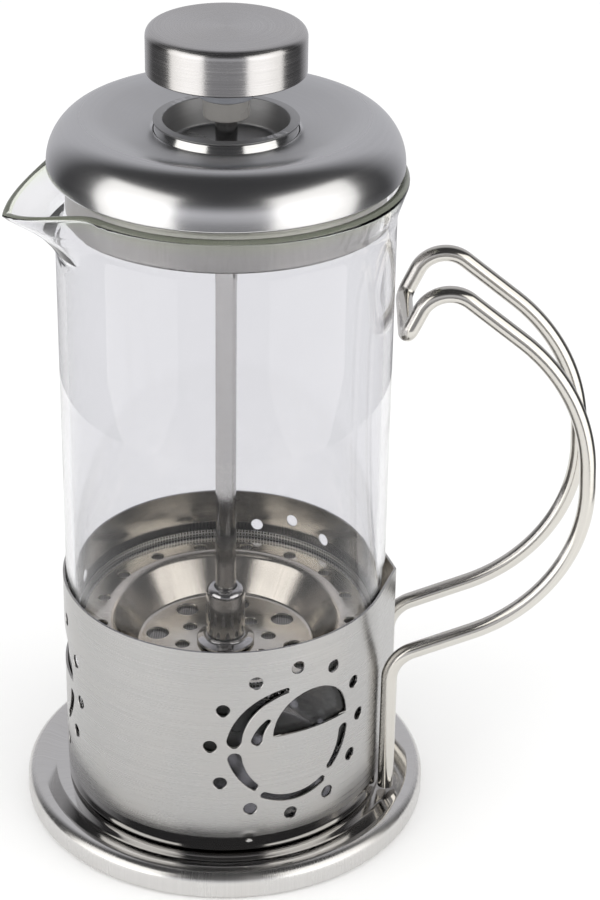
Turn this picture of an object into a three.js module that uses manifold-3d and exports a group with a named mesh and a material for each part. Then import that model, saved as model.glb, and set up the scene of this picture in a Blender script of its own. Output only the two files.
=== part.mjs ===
// Press-pot coffee maker: a glass beaker in a pierced steel band on a round base,
// a wire handle, a domed lid with a central well, and a plunger with a dished filter.
// Millimetres, +Z up, origin on the main axis at table level, handle towards +X.
import * as THREE from 'three';
import { mergeVertices } from 'three/addons/utils/BufferGeometryUtils.js';
import Module from 'manifold-3d';

const wasm = await Module();
wasm.setup();

// ---- base and band ----
const BASE_R = 44.8;          // widest radius of the rolled bead
const BASE_TOP = 6.4;
const BASE_PAD_R = 28.8;      // flat centre pad that meets the table
const BAND_R = 35.55;         // outside of the pierced band
const BAND_SHEET = 0.5;
const BAND_FOOT = 5.9;
const BAND_TOP = 56.7;
const BAND_BEND = 0.8;        // bend between the wall and the turned-in floor
const RIDGE_DEGREES = 18;     // the band runs flat from here to a ridge behind the handle
const ROUNDEL_Z = 32.6;       // centre height of the pierced roundels
const ROUNDEL_DEGREES = [-63.75, 63.75, 180];
const DOT_RING_R = 18.4;
const DOT_R = 1.45;

// ---- wire handle ----
const WIRE_R = 1.75;
const WIRE_SIDES = 8;
const WIRE_STEPS = 110;
const WIRE_Y = 10.3;          // each wire stands this far from the XZ plane
const LEG_X = 36.25;
const LEG_FOOT = 6.6;

// ---- glass beaker ----
const GLASS_R = 34.85;
const GLASS_T = 1.9;
const GLASS_FOOT = 6.7;
const GLASS_FLOOR = 9;
const RIM_R = 37.2;
const RIM_Z = 149.5;
const SPOUT_DEGREES = 198;    // the beaker is turned 18 degrees in its frame
const SPOUT_HALF = 30;        // half width of the spout, degrees
const SPOUT_OUT = 9.0;
const SPOUT_DROP = 4.5;
const SPOUT_Z = 133;          // the wall starts to lean out here

// ---- lid ----
const LID_R = 36.2;
const LID_TOP = 161.3;
const LID_FOOT = 150.7;
const LID_COLLAR_Z = 158.4;   // the dome's inner edge, at the well
const LID_RIM_Z = 151.8;      // the dome is widest here
const LID_SHEET = 0.8;
const WELL_R = 14.7;
const WELL_TOP = 160.5;
const WELL_FOOT = 154.0;
const SKIRT_R = 32.6;
const SKIRT_FOOT = 141.3;
const SKIRT_TOP = 151.2;
const GUIDE_R = 4.2;
const LID_HOLE_R = 2.75;      // the rod's hole through the lid

// ---- plunger ----
const ROD_R = 2.25;
const ROD_FOOT = 41.9;
const ROD_TOP = 174.3;
const BORE_R = 2.55;          // bore of every piece that the rod goes through
const KNOB_R = 16.1;
const KNOB_FOOT = 170.4;
const KNOB_TOP = 179.6;
const KNOB_SHEET = 0.8;
const CORE_R = 15.0;
const CORE_TOP = 178.5;
const CORE_FACE = 170.95;     // underside of the knob's core
const BOSS_R = 5.7;
const BOSS_FOOT = 165.3;
const INSERT_R = 4.0;
const INSERT_TOP = 174.6;
const STEM_R = 4.7;
const STEM_FOOT = 161.0;

// ---- filter ----
const PLATE_R = 31.2;
const PLATE_TOP = 46.0;       // upper face of the filter plate's rim
const DISH_TOP = 38.0;        // upper face of the filter plate's floor
const DISH_INNER = 19.4;
const DISH_OUTER = 25.2;
const SHEET = 0.6;
const SCREEN_SHEET = 0.4;
const SCREEN_TOP = 47.6;
const STUD_R = 2.0;           // threaded stud under the hub
const STUD_HOLE_R = 2.3;
const HUB_R = 4.3;
const HUB_FOOT = 31.6;
const HUB_SHOULDER = 40.4;
const HUB_TOP = 52.15;
const WASHER_R = 6.4;
const NUT_R = 4.1;
const NUT_FOOT = 32.8;
const NUT_TOP = 35.4;
const GAP = 0.3;              // clearance between pieces that touch

const { degToRad, lerp, smoothstep } = THREE.MathUtils;

const steel = (color, roughness) => new THREE.MeshStandardMaterial({ color, roughness, metalness: 1 });
const MATERIALS = {
  polished: steel(0xc9c7c2, 0.12),
  satin: steel(0xb9b8b4, 0.35),
  mesh: steel(0x9c9b97, 0.5),
  brass: steel(0xb8965a, 0.35),
  glass: new THREE.MeshStandardMaterial({
    color: 0xe8f0ec, roughness: 0.03, transparent: true, opacity: 0.35,
  }),
  plastic: new THREE.MeshStandardMaterial({ color: 0x6f7480, roughness: 0.45 }),
  guide: new THREE.MeshStandardMaterial({ color: 0xd8d8d4, roughness: 0.5 }),
};

// ---------------------------------------------------------------- lines
// A line through corners [place, radius]. A radius above 0 turns its corner into an arc
// with a point at least every arcStep degrees.
function rounded(corners, closed, arcStep = 60) {
  const line = [];
  corners.forEach(([here, radius], i) => {
    const atEnd = i === 0 || i === corners.length - 1;
    if (radius === 0 || (atEnd && !closed)) {
      line.push(here);
      return;
    }
    const before = corners.at(i - 1)[0].clone().sub(here).normalize();
    const after = corners[(i + 1) % corners.length][0].clone().sub(here).normalize();
    const half = before.angleTo(after) / 2;
    const turn = Math.PI - 2 * half;
    const middle = before.clone().add(after).normalize().multiplyScalar(radius / Math.sin(half)).add(here);
    const start = before.multiplyScalar(radius / Math.tan(half)).add(here).sub(middle);
    const end = after.multiplyScalar(radius / Math.tan(half)).add(here).sub(middle);
    const steps = Math.max(1, Math.ceil(turn / degToRad(arcStep) - 0.01));
    for (let k = 0; k <= steps; k++) {
      const a = (turn * k) / steps;
      const arm = start.clone().multiplyScalar(Math.sin(turn - a)).addScaledVector(end, Math.sin(a));
      line.push(middle.clone().addScaledVector(arm, 1 / Math.sin(turn)));
    }
  });
  return line;
}

// Corners [x, y] or [x, y, radius] of a flat line.
const flat = (corners) => corners.map(([x, y, radius = 0]) => [new THREE.Vector3(x, y, 0), radius]);
const openLine = (corners) => rounded(flat(corners), false);
const closedLine = (corners) => rounded(flat(corners), true);

// The line moved sideways by distance, to the left of its direction.
function beside(line, distance) {
  return line.map((here, i) => {
    const ways = [];
    if (i > 0) ways.push(here.clone().sub(line[i - 1]).normalize());
    if (i < line.length - 1) ways.push(line[i + 1].clone().sub(here).normalize());
    const side = new THREE.Vector3();
    for (const way of ways) side.add(new THREE.Vector3(-way.y, way.x, 0));
    side.divideScalar(ways.length);
    return here.clone().addScaledVector(side, distance / side.lengthSq());
  });
}

// The closed section of a sheet: a line, and the line beside it on its left.
const sheet = (line, thickness) => [...line, ...beside(line, thickness).reverse()];

// ---------------------------------------------------------------- solids
// Turns a (radius, height) line about Z: counterclockwise, and on the axis at both ends or closed.
function revolve(line, segments) {
  const onAxis = line[0].x === 0 && line.at(-1).x === 0;
  const points = onAxis ? line : [...line, line[0]];
  return new THREE.LatheGeometry(points, segments).rotateX(Math.PI / 2);
}

function extrude(shapes, bottom, top) {
  return new THREE.ExtrudeGeometry(shapes, { depth: top - bottom, bevelEnabled: false, curveSegments: 5 })
    .translate(0, 0, bottom);
}

// Moves every vertex by a rule that maps [x, y, z] to its new place.
function remap(geometry, rule) {
  const places = geometry.attributes.position;
  for (let i = 0; i < places.count; i++)
    places.setXYZ(i, ...rule(places.getX(i), places.getY(i), places.getZ(i)));
  geometry.computeVertexNormals();
  return geometry;
}

// Moves every vertex by a rule that maps (radius, height, degrees) to a new [radius, height].
function warp(geometry, rule) {
  return remap(geometry, (x, y, z) => {
    const azimuth = Math.atan2(y, x);
    const [radius, height] = rule(Math.hypot(x, y), z, THREE.MathUtils.radToDeg(azimuth));
    return [radius * Math.cos(azimuth), radius * Math.sin(azimuth), height];
  });
}

function toSolid(geometry) {
  const merged = geometry.clone();
  merged.deleteAttribute('normal');
  merged.deleteAttribute('uv');
  const { attributes, index } = mergeVertices(merged);
  return new wasm.Manifold(new wasm.Mesh({
    numProp: 3,
    vertProperties: new Float32Array(attributes.position.array),
    triVerts: new Uint32Array(index.array),
  }));
}

function cut(geometry, cutters) {
  let solid = toSolid(geometry);
  for (const cutter of cutters) solid = solid.subtract(toSolid(cutter));
  const { vertProperties, triVerts } = solid.getMesh();
  const result = new THREE.BufferGeometry();
  result.setAttribute('position', new THREE.BufferAttribute(vertProperties, 3));
  result.setIndex(new THREE.BufferAttribute(triVerts, 1));
  result.computeVertexNormals();
  return result;
}

function circle(x, y, radius, sides) {
  const points = [];
  for (let i = 0; i < sides; i++) {
    const a = (2 * Math.PI * i) / sides;
    points.push(new THREE.Vector2(x + radius * Math.cos(a), y + radius * Math.sin(a)));
  }
  return new THREE.Shape(points);
}

// ---------------------------------------------------------------- base plate
function basePlate() {
  return revolve(openLine([
    [0, 0], [BASE_PAD_R, 0], [30.5, 4.6, 1.5], [36.4, 4.3], [41.0, 4.3], [42.6, 5.2], [43.4, 4.4], [43.4, 0],
    [BASE_R - 0.9, 0], [BASE_R, 0.9], [BASE_R, BASE_TOP, 1.9], [41.6, BASE_TOP, 3], [38, 5.2, 2],
    [34, 5.5], [29.8, 5.5, 1], [28, 0.9, 1], [0, 0.9],
  ]), 40);
}

// ---------------------------------------------------------------- pierced band
// Flat-sided ridge behind the handle, fading out towards the band's foot.
function ridge(radius, height, degrees) {
  const off = Math.min(Math.abs(degrees), RIDGE_DEGREES);
  const flatSided = radius / Math.cos(degToRad(RIDGE_DEGREES - off));
  const share = off < RIDGE_DEGREES ? smoothstep(height, 7, 12) : 0;
  return [lerp(radius, flatSided, share), height];
}

// A curved slot with round ends. Its width goes evenly from one end to the other.
function arcSlot(radius, start, end, startWidth, endWidth) {
  const sideSteps = 4;
  const tipSteps = 2;
  const edge = (share, turn) => {
    const half = lerp(startWidth, endWidth, share) / 2;
    const place = new THREE.Vector2(radius + half * Math.cos(turn), half * Math.sin(turn));
    return place.rotateAround(new THREE.Vector2(), degToRad(lerp(start, end, share)));
  };
  const points = [];
  for (let i = 0; i < sideSteps; i++) points.push(edge(i / sideSteps, 0));
  for (let i = 0; i < tipSteps; i++) points.push(edge(1, (Math.PI * i) / tipSteps));
  for (let i = 0; i < sideSteps; i++) points.push(edge(1 - i / sideSteps, Math.PI));
  for (let i = 0; i < tipSteps; i++) points.push(edge(0, Math.PI + (Math.PI * i) / tipSteps));
  return new THREE.Shape(points);
}

// Plain pierced roundel: five arcs and a half moon in a ring of twelve holes.
function roundel() {
  const shapes = [
    arcSlot(13.4, 98, 172, 1.2, 3.2),
    arcSlot(13.4, 191, 228, 3.0, 1.8),
    arcSlot(14.2, 242, 300, 1.6, 1.6),
    arcSlot(13.2, 314, 352, 1.4, 2.6),
    arcSlot(8.6, 134, 168, 1.2, 2.4),
  ];
  for (let i = 0; i < 12; i++) {
    const a = degToRad(30 * i - 2);
    shapes.push(circle(DOT_RING_R * Math.cos(a), DOT_RING_R * Math.sin(a), DOT_R, 8));
  }
  const moon = new THREE.Shape();
  moon.absellipse(4.6, 2.2, 9.4, 9.8, 0, Math.PI);
  shapes.push(moon);
  return shapes;
}

// The roundel's cutter, bent round the band: x runs along the band, y up it, z out of it.
function roundelCutter(degrees) {
  return remap(extrude(roundel(), BAND_R - 2, BAND_R + 4), (x, y, z) => {
    const a = degToRad(degrees) + x / BAND_R;
    return [z * Math.cos(a), z * Math.sin(a), ROUNDEL_Z + y];
  });
}

function frameBand() {
  const outside = openLine([
    [24, BAND_FOOT], [BAND_R, BAND_FOOT, BAND_BEND], [BAND_R, 12], [BAND_R, BAND_TOP],
  ]);
  return cut(warp(revolve(sheet(outside, BAND_SHEET), 40), ridge), ROUNDEL_DEGREES.map(roundelCutter));
}

// ---------------------------------------------------------------- wire handle
// One bent wire: up from the base, out and round the grip, and across under the rim to the far side.
function handleWire() {
  const side = [
    [LEG_X, LEG_FOOT, 0], [LEG_X, 40.2, 8], [77.8, 57.5, 37], [75.2, 106, 40.5], [43.3, 131.2, 6.5],
    [37.2, 117.8, 2.4],
  ];
  const near = side.map(([x, z, radius]) => [new THREE.Vector3(x, -WIRE_Y, z), radius]);
  const far = side.map(([x, z, radius]) => [new THREE.Vector3(x, WIRE_Y, z), radius]).reverse();
  const line = rounded([...near, ...far], false, 8);
  const path = new THREE.CurvePath();
  for (let i = 1; i < line.length; i++) path.add(new THREE.LineCurve3(line[i - 1], line[i]));
  const cornerRadius = WIRE_R / Math.cos(Math.PI / WIRE_SIDES);
  const section = circle(0, 0, cornerRadius, WIRE_SIDES);
  return new THREE.ExtrudeGeometry(section, { steps: WIRE_STEPS, bevelEnabled: false, extrudePath: path });
}

// ---------------------------------------------------------------- glass beaker
// Pulls the wall out and down into a pointed spout near the rim.
function spout(radius, height, degrees) {
  const off = Math.abs(THREE.MathUtils.euclideanModulo(degrees, 360) - SPOUT_DEGREES) / SPOUT_HALF;
  if (off >= 1 || height <= SPOUT_Z) return [radius, height];
  const lift = (height - SPOUT_Z) / (RIM_Z - SPOUT_Z);
  const side = 0.45 * Math.cos((off * Math.PI) / 2) ** 2 + 0.55 * (1 - off) ** 1.5;
  const out = SPOUT_OUT * smoothstep(lift / 0.95, 0, 1) * side;
  return [radius + out, height - SPOUT_DROP * lift * lift * side];
}

function glassBeaker() {
  const inside = GLASS_R - GLASS_T;
  const line = openLine([
    [0, GLASS_FOOT], [GLASS_R, GLASS_FOOT, 5], [GLASS_R, SPOUT_Z], [GLASS_R, 137], [GLASS_R, 140.2],
    [35.3, 144], [RIM_R, 148.6, 1], [RIM_R - 0.7, RIM_Z], [35.4, RIM_Z, 0.8], [33.4, 144],
    [33.05, 140.2], [inside, 137], [inside, SPOUT_Z], [inside, GLASS_FLOOR, 4], [0, GLASS_FLOOR],
  ]);
  return warp(revolve(line, 60), spout);
}

// ---------------------------------------------------------------- lid
function lidDome() {
  const crest = new THREE.Vector2(28.5, LID_TOP);
  const rim = new THREE.Vector2(LID_R, LID_RIM_Z);
  const collar = new THREE.Vector2(WELL_R + GAP, LID_COLLAR_Z);
  const shoulder = new THREE.CubicBezierCurve(rim, new THREE.Vector2(LID_R, 157),
    new THREE.Vector2(32.2, LID_TOP), crest);
  const slope = new THREE.CubicBezierCurve(crest, new THREE.Vector2(24, LID_TOP),
    new THREE.Vector2(19, 159.4), collar);
  const top = [...shoulder.getPoints(7), ...slope.getPoints(4).slice(1)];
  const hem = new THREE.Vector2(LID_R - 0.2, LID_FOOT);
  return revolve(sheet([hem, ...top].map(({ x, y }) => new THREE.Vector3(x, y, 0)), LID_SHEET), 40);
}

function lidWell() {
  return revolve(closedLine([
    [LID_HOLE_R, WELL_FOOT], [11.9, WELL_FOOT], [12.5, 156.1], [14.4, 156.6], [WELL_R, 157.3],
    [WELL_R, WELL_TOP, 0.3], [12.8, WELL_TOP, 0.3], [11.7, WELL_FOOT + LID_SHEET],
    [LID_HOLE_R, WELL_FOOT + LID_SHEET],
  ]), 32);
}

function lidSkirt() {
  return revolve(closedLine([
    [LID_HOLE_R, SKIRT_FOOT], [SKIRT_R, SKIRT_FOOT, 0.8], [SKIRT_R, 149.7], [34.9, 149.7], [34.9, SKIRT_TOP],
    [31.9, SKIRT_TOP], [31.9, SKIRT_FOOT + LID_SHEET], [LID_HOLE_R, SKIRT_FOOT + LID_SHEET],
  ]), 40);
}

const tube = (bore, radius, bottom, top) => revolve(closedLine([
  [bore, bottom], [radius, bottom, 0.3], [radius, top, 0.3], [bore, top],
]), 20);

const rodGuide = () => tube(BORE_R, GUIDE_R, SKIRT_FOOT + LID_SHEET + GAP, WELL_FOOT - GAP);

// ---------------------------------------------------------------- knob and rod
const plungerRod = () => revolve(openLine([
  [0, ROD_FOOT], [ROD_R, ROD_FOOT, 0.4], [ROD_R, ROD_TOP, 0.4], [0, ROD_TOP],
]), 16);

const stemSleeve = () => tube(BORE_R, STEM_R, STEM_FOOT, BOSS_FOOT - GAP);

function knobCap() {
  const inside = KNOB_R - KNOB_SHEET;
  return revolve(openLine([
    [0, KNOB_TOP - KNOB_SHEET], [inside, KNOB_TOP - KNOB_SHEET, 1.1], [inside, KNOB_FOOT],
    [KNOB_R, KNOB_FOOT, 0.3], [KNOB_R, KNOB_TOP, 1.9], [0, KNOB_TOP],
  ]), 40);
}

function knobCore() {
  return revolve(openLine([
    [INSERT_R + GAP, BOSS_FOOT], [BOSS_R, BOSS_FOOT, 0.3], [BOSS_R, CORE_FACE], [CORE_R, CORE_FACE],
    [CORE_R, CORE_TOP, 1.4], [0, CORE_TOP], [0, INSERT_TOP + GAP], [INSERT_R + GAP, INSERT_TOP + GAP],
  ]), 32);
}

const knobInsert = () => tube(BORE_R, INSERT_R, BOSS_FOOT, INSERT_TOP);

// ---------------------------------------------------------------- filter stack
// The line of a pressed dish from its rim inwards, drop below the filter plate's upper face.
function dish(rim, drop) {
  const slope = Math.atan2(PLATE_TOP - DISH_TOP, DISH_OUTER - DISH_INNER);
  const shift = drop * Math.tan(slope / 2);
  return [
    [rim, PLATE_TOP - drop], [DISH_OUTER + shift, PLATE_TOP - drop, 1.2],
    [DISH_INNER + shift, DISH_TOP - drop, 1.2], [STUD_HOLE_R, DISH_TOP - drop],
  ];
}

// Cutters for a ring of round holes.
function punches(count, ring, firstDegrees, radius, sides) {
  const shapes = [];
  for (let i = 0; i < count; i++) {
    const a = degToRad(firstDegrees + (360 * i) / count);
    shapes.push(circle(ring * Math.cos(a), ring * Math.sin(a), radius, sides));
  }
  return extrude(shapes, DISH_TOP - 5, PLATE_TOP + 5);
}

function filterPlate() {
  return cut(revolve(sheet(openLine(dish(PLATE_R, 0)), SHEET), 40), [
    punches(16, 27.7, -8.2, 1.4, 6),
    punches(8, 15.5, -8.8, 2.45, 8),
    punches(8, 9.7, 12, 1.55, 6),
  ]);
}

// Woven screen under the plate, its border curled up round the plate's rim.
function meshScreen() {
  const curl = PLATE_R + 1;
  const [, ...floor] = dish(curl, SHEET + GAP);
  const border = [[curl, SCREEN_TOP], [curl, PLATE_TOP - SHEET - GAP, 0.8]];
  return revolve(sheet(openLine([...border, ...floor]), SCREEN_SHEET), 36);
}

function rimSpring() {
  const section = circle(31.0, 43.2, 1.1, 6).getPoints();
  return revolve(section.map(({ x, y }) => new THREE.Vector3(x, y, 0)), 40);
}

function bottomPlate() {
  const blank = revolve(sheet(openLine(dish(29.3, 1.6)), SHEET), 40);
  return cut(blank, [punches(8, 13, 8, 2.8, 8)]);
}

const filterHub = () => revolve(openLine([
  [0, HUB_FOOT], [STUD_R, HUB_FOOT, 0.3], [STUD_R, HUB_SHOULDER], [HUB_R, HUB_SHOULDER, 0.3],
  [HUB_R, HUB_TOP, 1.6], [BORE_R, HUB_TOP], [BORE_R, ROD_FOOT - GAP], [0, ROD_FOOT - GAP],
]), 20);

const hubWasher = () => revolve(closedLine([
  [STUD_HOLE_R, DISH_TOP + GAP], [WASHER_R, DISH_TOP + GAP, 0.3], [WASHER_R, 38.9], [4.9, 39.6],
  [4.5, HUB_SHOULDER - GAP], [STUD_HOLE_R, HUB_SHOULDER - GAP],
]), 20);

function bottomNut() {
  const hexagon = circle(0, 0, NUT_R, 6);
  hexagon.holes.push(circle(0, 0, STUD_HOLE_R, 16));
  return extrude([hexagon], NUT_FOOT, NUT_TOP);
}

// ---------------------------------------------------------------- assembly
const NODES = [
  ['base_plate', basePlate, 'polished'],
  ['frame_band', frameBand, 'satin'],
  ['handle_wire', handleWire, 'satin'],
  ['glass_beaker', glassBeaker, 'glass'],
  ['lid_dome', lidDome, 'satin'],
  ['lid_well', lidWell, 'polished'],
  ['lid_skirt', lidSkirt, 'satin'],
  ['rod_guide', rodGuide, 'guide'],
  ['plunger_rod', plungerRod, 'polished'],
  ['stem_sleeve', stemSleeve, 'plastic'],
  ['knob_cap', knobCap, 'satin'],
  ['knob_core', knobCore, 'plastic'],
  ['knob_insert', knobInsert, 'brass'],
  ['filter_hub', filterHub, 'polished'],
  ['hub_washer', hubWasher, 'polished'],
  ['filter_plate', filterPlate, 'polished'],
  ['mesh_screen', meshScreen, 'mesh'],
  ['rim_spring', rimSpring, 'polished'],
  ['bottom_plate', bottomPlate, 'satin'],
  ['bottom_nut', bottomNut, 'polished'],
];

const root = new THREE.Group();
root.name = 'press_pot';
for (const [name, make, finish] of NODES) {
  const mesh = new THREE.Mesh(make(), MATERIALS[finish]);
  mesh.name = name;
  root.add(mesh);
}
export default root;
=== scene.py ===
import math

import bmesh
import bpy
from mathutils import Matrix, Vector
from mathutils.geometry import interpolate_bezier


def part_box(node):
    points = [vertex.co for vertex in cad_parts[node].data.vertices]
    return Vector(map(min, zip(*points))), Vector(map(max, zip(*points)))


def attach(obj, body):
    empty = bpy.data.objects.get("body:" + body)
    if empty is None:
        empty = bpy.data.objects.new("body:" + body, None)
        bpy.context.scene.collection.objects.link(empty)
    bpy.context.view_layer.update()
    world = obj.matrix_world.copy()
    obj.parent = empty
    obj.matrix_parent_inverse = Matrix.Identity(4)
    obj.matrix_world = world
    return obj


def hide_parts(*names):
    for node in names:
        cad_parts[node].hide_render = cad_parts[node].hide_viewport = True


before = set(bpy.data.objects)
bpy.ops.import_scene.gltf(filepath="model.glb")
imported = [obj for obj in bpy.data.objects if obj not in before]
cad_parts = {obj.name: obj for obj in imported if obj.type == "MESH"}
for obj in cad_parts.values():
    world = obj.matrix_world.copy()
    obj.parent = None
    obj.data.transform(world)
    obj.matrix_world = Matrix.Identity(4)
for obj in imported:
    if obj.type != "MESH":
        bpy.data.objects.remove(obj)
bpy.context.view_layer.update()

# A press-pot coffee maker: glass beaker in a pierced steel band on a round base, with a wire handle,
# a domed lid and a plunger. Lengths on the pot are millimetres until mesh_object() makes metres of them.
# Materials and studio are in metres.
MM = 0.001
ON_AXIS = 1e-6            # a radius below this is a point on the main axis


def reach(node):
    """Radius across Y, lowest and highest point of a CAD node, in millimetres."""
    low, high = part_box(node)
    return high[1] / MM, low[2] / MM, high[2] / MM


# ------------------------------------------------------------------ lines
def rounded(corners, closed=False, steps=8):
    """A line through corners (coordinates, radius): a radius above 0 turns its corner into an arc."""
    line = []
    last = len(corners) - 1
    for i, (place, radius) in enumerate(corners):
        here = Vector(place)
        if radius == 0 or (not closed and i in (0, last)):
            line.append(here)
            continue
        before = (Vector(corners[i - 1][0]) - here).normalized()
        after = (Vector(corners[(i + 1) % len(corners)][0]) - here).normalized()
        half = math.acos(max(-1.0, min(1.0, before.dot(after)))) / 2
        middle = here + (before + after).normalized() * (radius / math.sin(half))
        start = here + before * (radius / math.tan(half)) - middle
        end = here + after * (radius / math.tan(half)) - middle
        turn = math.pi - 2 * half
        for k in range(steps + 1):
            a = turn * k / steps
            line.append(middle + (start * math.sin(turn - a) + end * math.sin(a)) / math.sin(turn))
    return line


def bezier(start, handle_a, handle_b, end, steps=20):
    """A cubic curve's points, both ends included."""
    points = [Vector((*p, 0)) for p in (start, handle_a, handle_b, end)]
    return [p.to_2d() for p in interpolate_bezier(*points, steps + 1)]


def beside(line, distance):
    """The line moved sideways by distance, to the right of its direction."""
    moved = []
    for i, here in enumerate(line):
        before = (here - line[i - 1]).normalized() if i else None
        after = (line[i + 1] - here).normalized() if i < len(line) - 1 else None
        sides = [Vector((d.y, -d.x)) for d in (before, after) if d is not None]
        mean = sum(sides, Vector((0, 0))) / len(sides)
        moved.append(here + mean * (distance / mean.length_squared))
    return moved


def shell(line, thickness):
    """A closed outline: the line, and the line beside it, thickness away on its right."""
    return line + beside(line, thickness)[::-1]


def finer(line, step):
    """The line with more points, no two of them further apart than step."""
    out = [line[0]]
    for a, b in zip(line, line[1:]):
        count = math.ceil((b - a).length / step - 1e-6)
        out += [a.lerp(b, k / count) for k in range(1, count + 1)]
    return out


# ------------------------------------------------------------------ meshes
def mesh_object(name, points, faces, sharp_degrees=35):
    """A closed mesh from millimetres, its faces outwards, smooth up to a sharp angle."""
    mesh = bpy.data.meshes.new(name)
    mesh.from_pydata([Vector(p) * MM for p in points], [], faces)
    work = bmesh.new()
    work.from_mesh(mesh)
    bmesh.ops.recalc_face_normals(work, faces=work.faces)
    if work.calc_volume(signed=True) < 0:
        bmesh.ops.reverse_faces(work, faces=work.faces)
    work.to_mesh(mesh)
    work.free()
    finish_mesh(mesh, sharp_degrees)
    piece = bpy.data.objects.new(name, mesh)
    bpy.context.scene.collection.objects.link(piece)
    return piece


def finish_mesh(mesh, sharp_degrees=35):
    """Smooth shading, with edges sharper than the angle kept sharp."""
    mesh.shade_smooth()
    mesh.set_sharp_from_angle(angle=math.radians(sharp_degrees))
    mesh.update()


def weighted(piece):
    """Keeps large flat faces flat in their shading, next to narrow rounded edges."""
    normals = piece.modifiers.new("weighted_normals", "WEIGHTED_NORMAL")
    normals.keep_sharp = True
    return piece


def revolve(name, outline, segments=180, warp=None):
    """Turns (radius, height) points about Z. Points on the axis are one vertex each.

    warp(radius, height, degrees) gives a point's radius and height where the piece isn't round.
    """
    points = []
    rows = []
    for radius, height in outline:
        if radius < ON_AXIS:
            rows.append([len(points)] * segments)
            points.append((0, 0, height))
            continue
        rows.append(list(range(len(points), len(points) + segments)))
        for i in range(segments):
            degrees = 360 * i / segments
            r, z = warp(radius, height, degrees) if warp else (radius, height)
            points.append((r * math.cos(math.radians(degrees)), r * math.sin(math.radians(degrees)), z))
    open_line = outline[0][0] < ON_AXIS and outline[-1][0] < ON_AXIS
    faces = []
    for j in range(len(rows) - 1 if open_line else len(rows)):
        a, b = rows[j], rows[(j + 1) % len(rows)]
        for i in range(segments):
            k = (i + 1) % segments
            face = list(dict.fromkeys((a[i], a[k], b[k], b[i])))
            if len(face) > 2:
                faces.append(face)
    return weighted(mesh_object(name, points, faces))


def tube(name, line, radius, sides=20, closed=False):
    """A round wire along a 3-D line.

    Its point attribute wire_place holds the place round the wire and along it.
    """
    count = len(line)
    points = []
    places = []
    length = 0.0
    side = None
    for i, here in enumerate(line):
        before = line[i - 1] if i or closed else here
        after = line[(i + 1) % count] if i < count - 1 or closed else here
        ahead = (after - before).normalized()
        if side is None:
            side = ahead.orthogonal().normalized()
        side = (side - ahead * side.dot(ahead)).normalized()
        up = ahead.cross(side)
        length += (here - line[i - 1]).length if i else 0
        for k in range(sides):
            a = math.tau * k / sides
            points.append(here + side * (radius * math.cos(a)) + up * (radius * math.sin(a)))
            places += (math.cos(a), math.sin(a), length)
    faces = []
    for i in range(count if closed else count - 1):
        for k in range(sides):
            m = (k + 1) % sides
            n = (i + 1) % count
            faces.append((i * sides + k, i * sides + m, n * sides + m, n * sides + k))
    if not closed:
        faces.append(tuple(range(sides))[::-1])
        faces.append(tuple(range((count - 1) * sides, count * sides)))
    wire = mesh_object(name, points, faces)
    wire.data.attributes.new("wire_place", "FLOAT_VECTOR", "POINT").data.foreach_set("vector", places)
    return wire


def round_outline(x, y, radius, sides=28):
    """A circle's points, counterclockwise."""
    turn = math.tau / sides
    return [(x + radius * math.cos(k * turn), y + radius * math.sin(k * turn)) for k in range(sides)]


def prism(layers, place):
    """Points and faces of a prism through outlines at several depths.

    layers holds (outline, depth), and place(x, y, depth) gives each point.
    """
    count = len(layers[0][0])
    points = [place(x, y, depth) for outline, depth in layers for x, y in outline]
    faces = [tuple(range(count))[::-1], tuple(range((len(layers) - 1) * count, len(layers) * count))]
    for j in range(len(layers) - 1):
        for i in range(count):
            k = (i + 1) % count
            faces.append((j * count + i, j * count + k, (j + 1) * count + k, (j + 1) * count + i))
    return points, faces


def grown(outline, distance):
    """A closed outline, counterclockwise, grown by distance."""
    ring = [Vector(p) for p in outline]
    out = []
    for i, here in enumerate(ring):
        before = (here - ring[i - 1]).normalized()
        after = (ring[(i + 1) % len(ring)] - here).normalized()
        mean = (Vector((before.y, -before.x)) + Vector((after.y, -after.x))) / 2
        out.append(tuple(here + mean * (distance / max(mean.length_squared, 0.3))))
    return out


def cut(piece, prisms):
    """Cuts prisms out of a piece and leaves the result as its mesh."""
    points = []
    faces = []
    for more_points, more_faces in prisms:
        faces += [tuple(len(points) + i for i in face) for face in more_faces]
        points += more_points
    cutter = mesh_object("cutter", points, faces)
    piece.modifiers.clear()
    holes = piece.modifiers.new("holes", "BOOLEAN")
    holes.object = cutter
    holes.solver = "MANIFOLD"
    graph = bpy.context.evaluated_depsgraph_get()
    made = bpy.data.meshes.new_from_object(piece.evaluated_get(graph))
    piece.modifiers.clear()
    made.materials.clear()
    piece.data = made
    bpy.data.objects.remove(cutter)
    finish_mesh(made, 30)
    return weighted(piece)


# ------------------------------------------------------------------ base and band
BASE_R, _, BASE_TOP = reach("base_plate")
BAND_R, BAND_FOOT, BAND_TOP = reach("frame_band")
PAD_R = 28.8              # the base's centre pad lies on the table
PAD_SHEET = 0.9
BEAD_R = 43.4             # inside of the bead round the edge, which stands on the table too
BEAD_BEND = 0.9
STEP_R = 34               # the base rises to a step that carries the band's foot
STEP_TOP = 5.5
BAND_SHEET = 0.5
BAND_FLOOR_R = 24         # the band's turned-in foot reaches in to here
BAND_BEND = 0.8
PLAIN_WALL_FOOT = 12.2    # above this height the band's wall is shaded as one smooth wall
RIDGE_DEGREES = 18        # half width of the flat-sided ridge behind the handle
RIDGE_FOOT = 7            # the ridge starts at this height, and is full RIDGE_RISE above it
RIDGE_RISE = 5
WELD_DEGREES = (-79.8, 40.2, 160.2)
WELD_Z = 9.2
WELD_R = 1.25
WELD_DEPTH = 0.32
ROUNDEL_Z = 32.6
ROUNDEL_DEGREES = (-63.75, 63.75, 180)
HOLE_COUNT = 12
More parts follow.
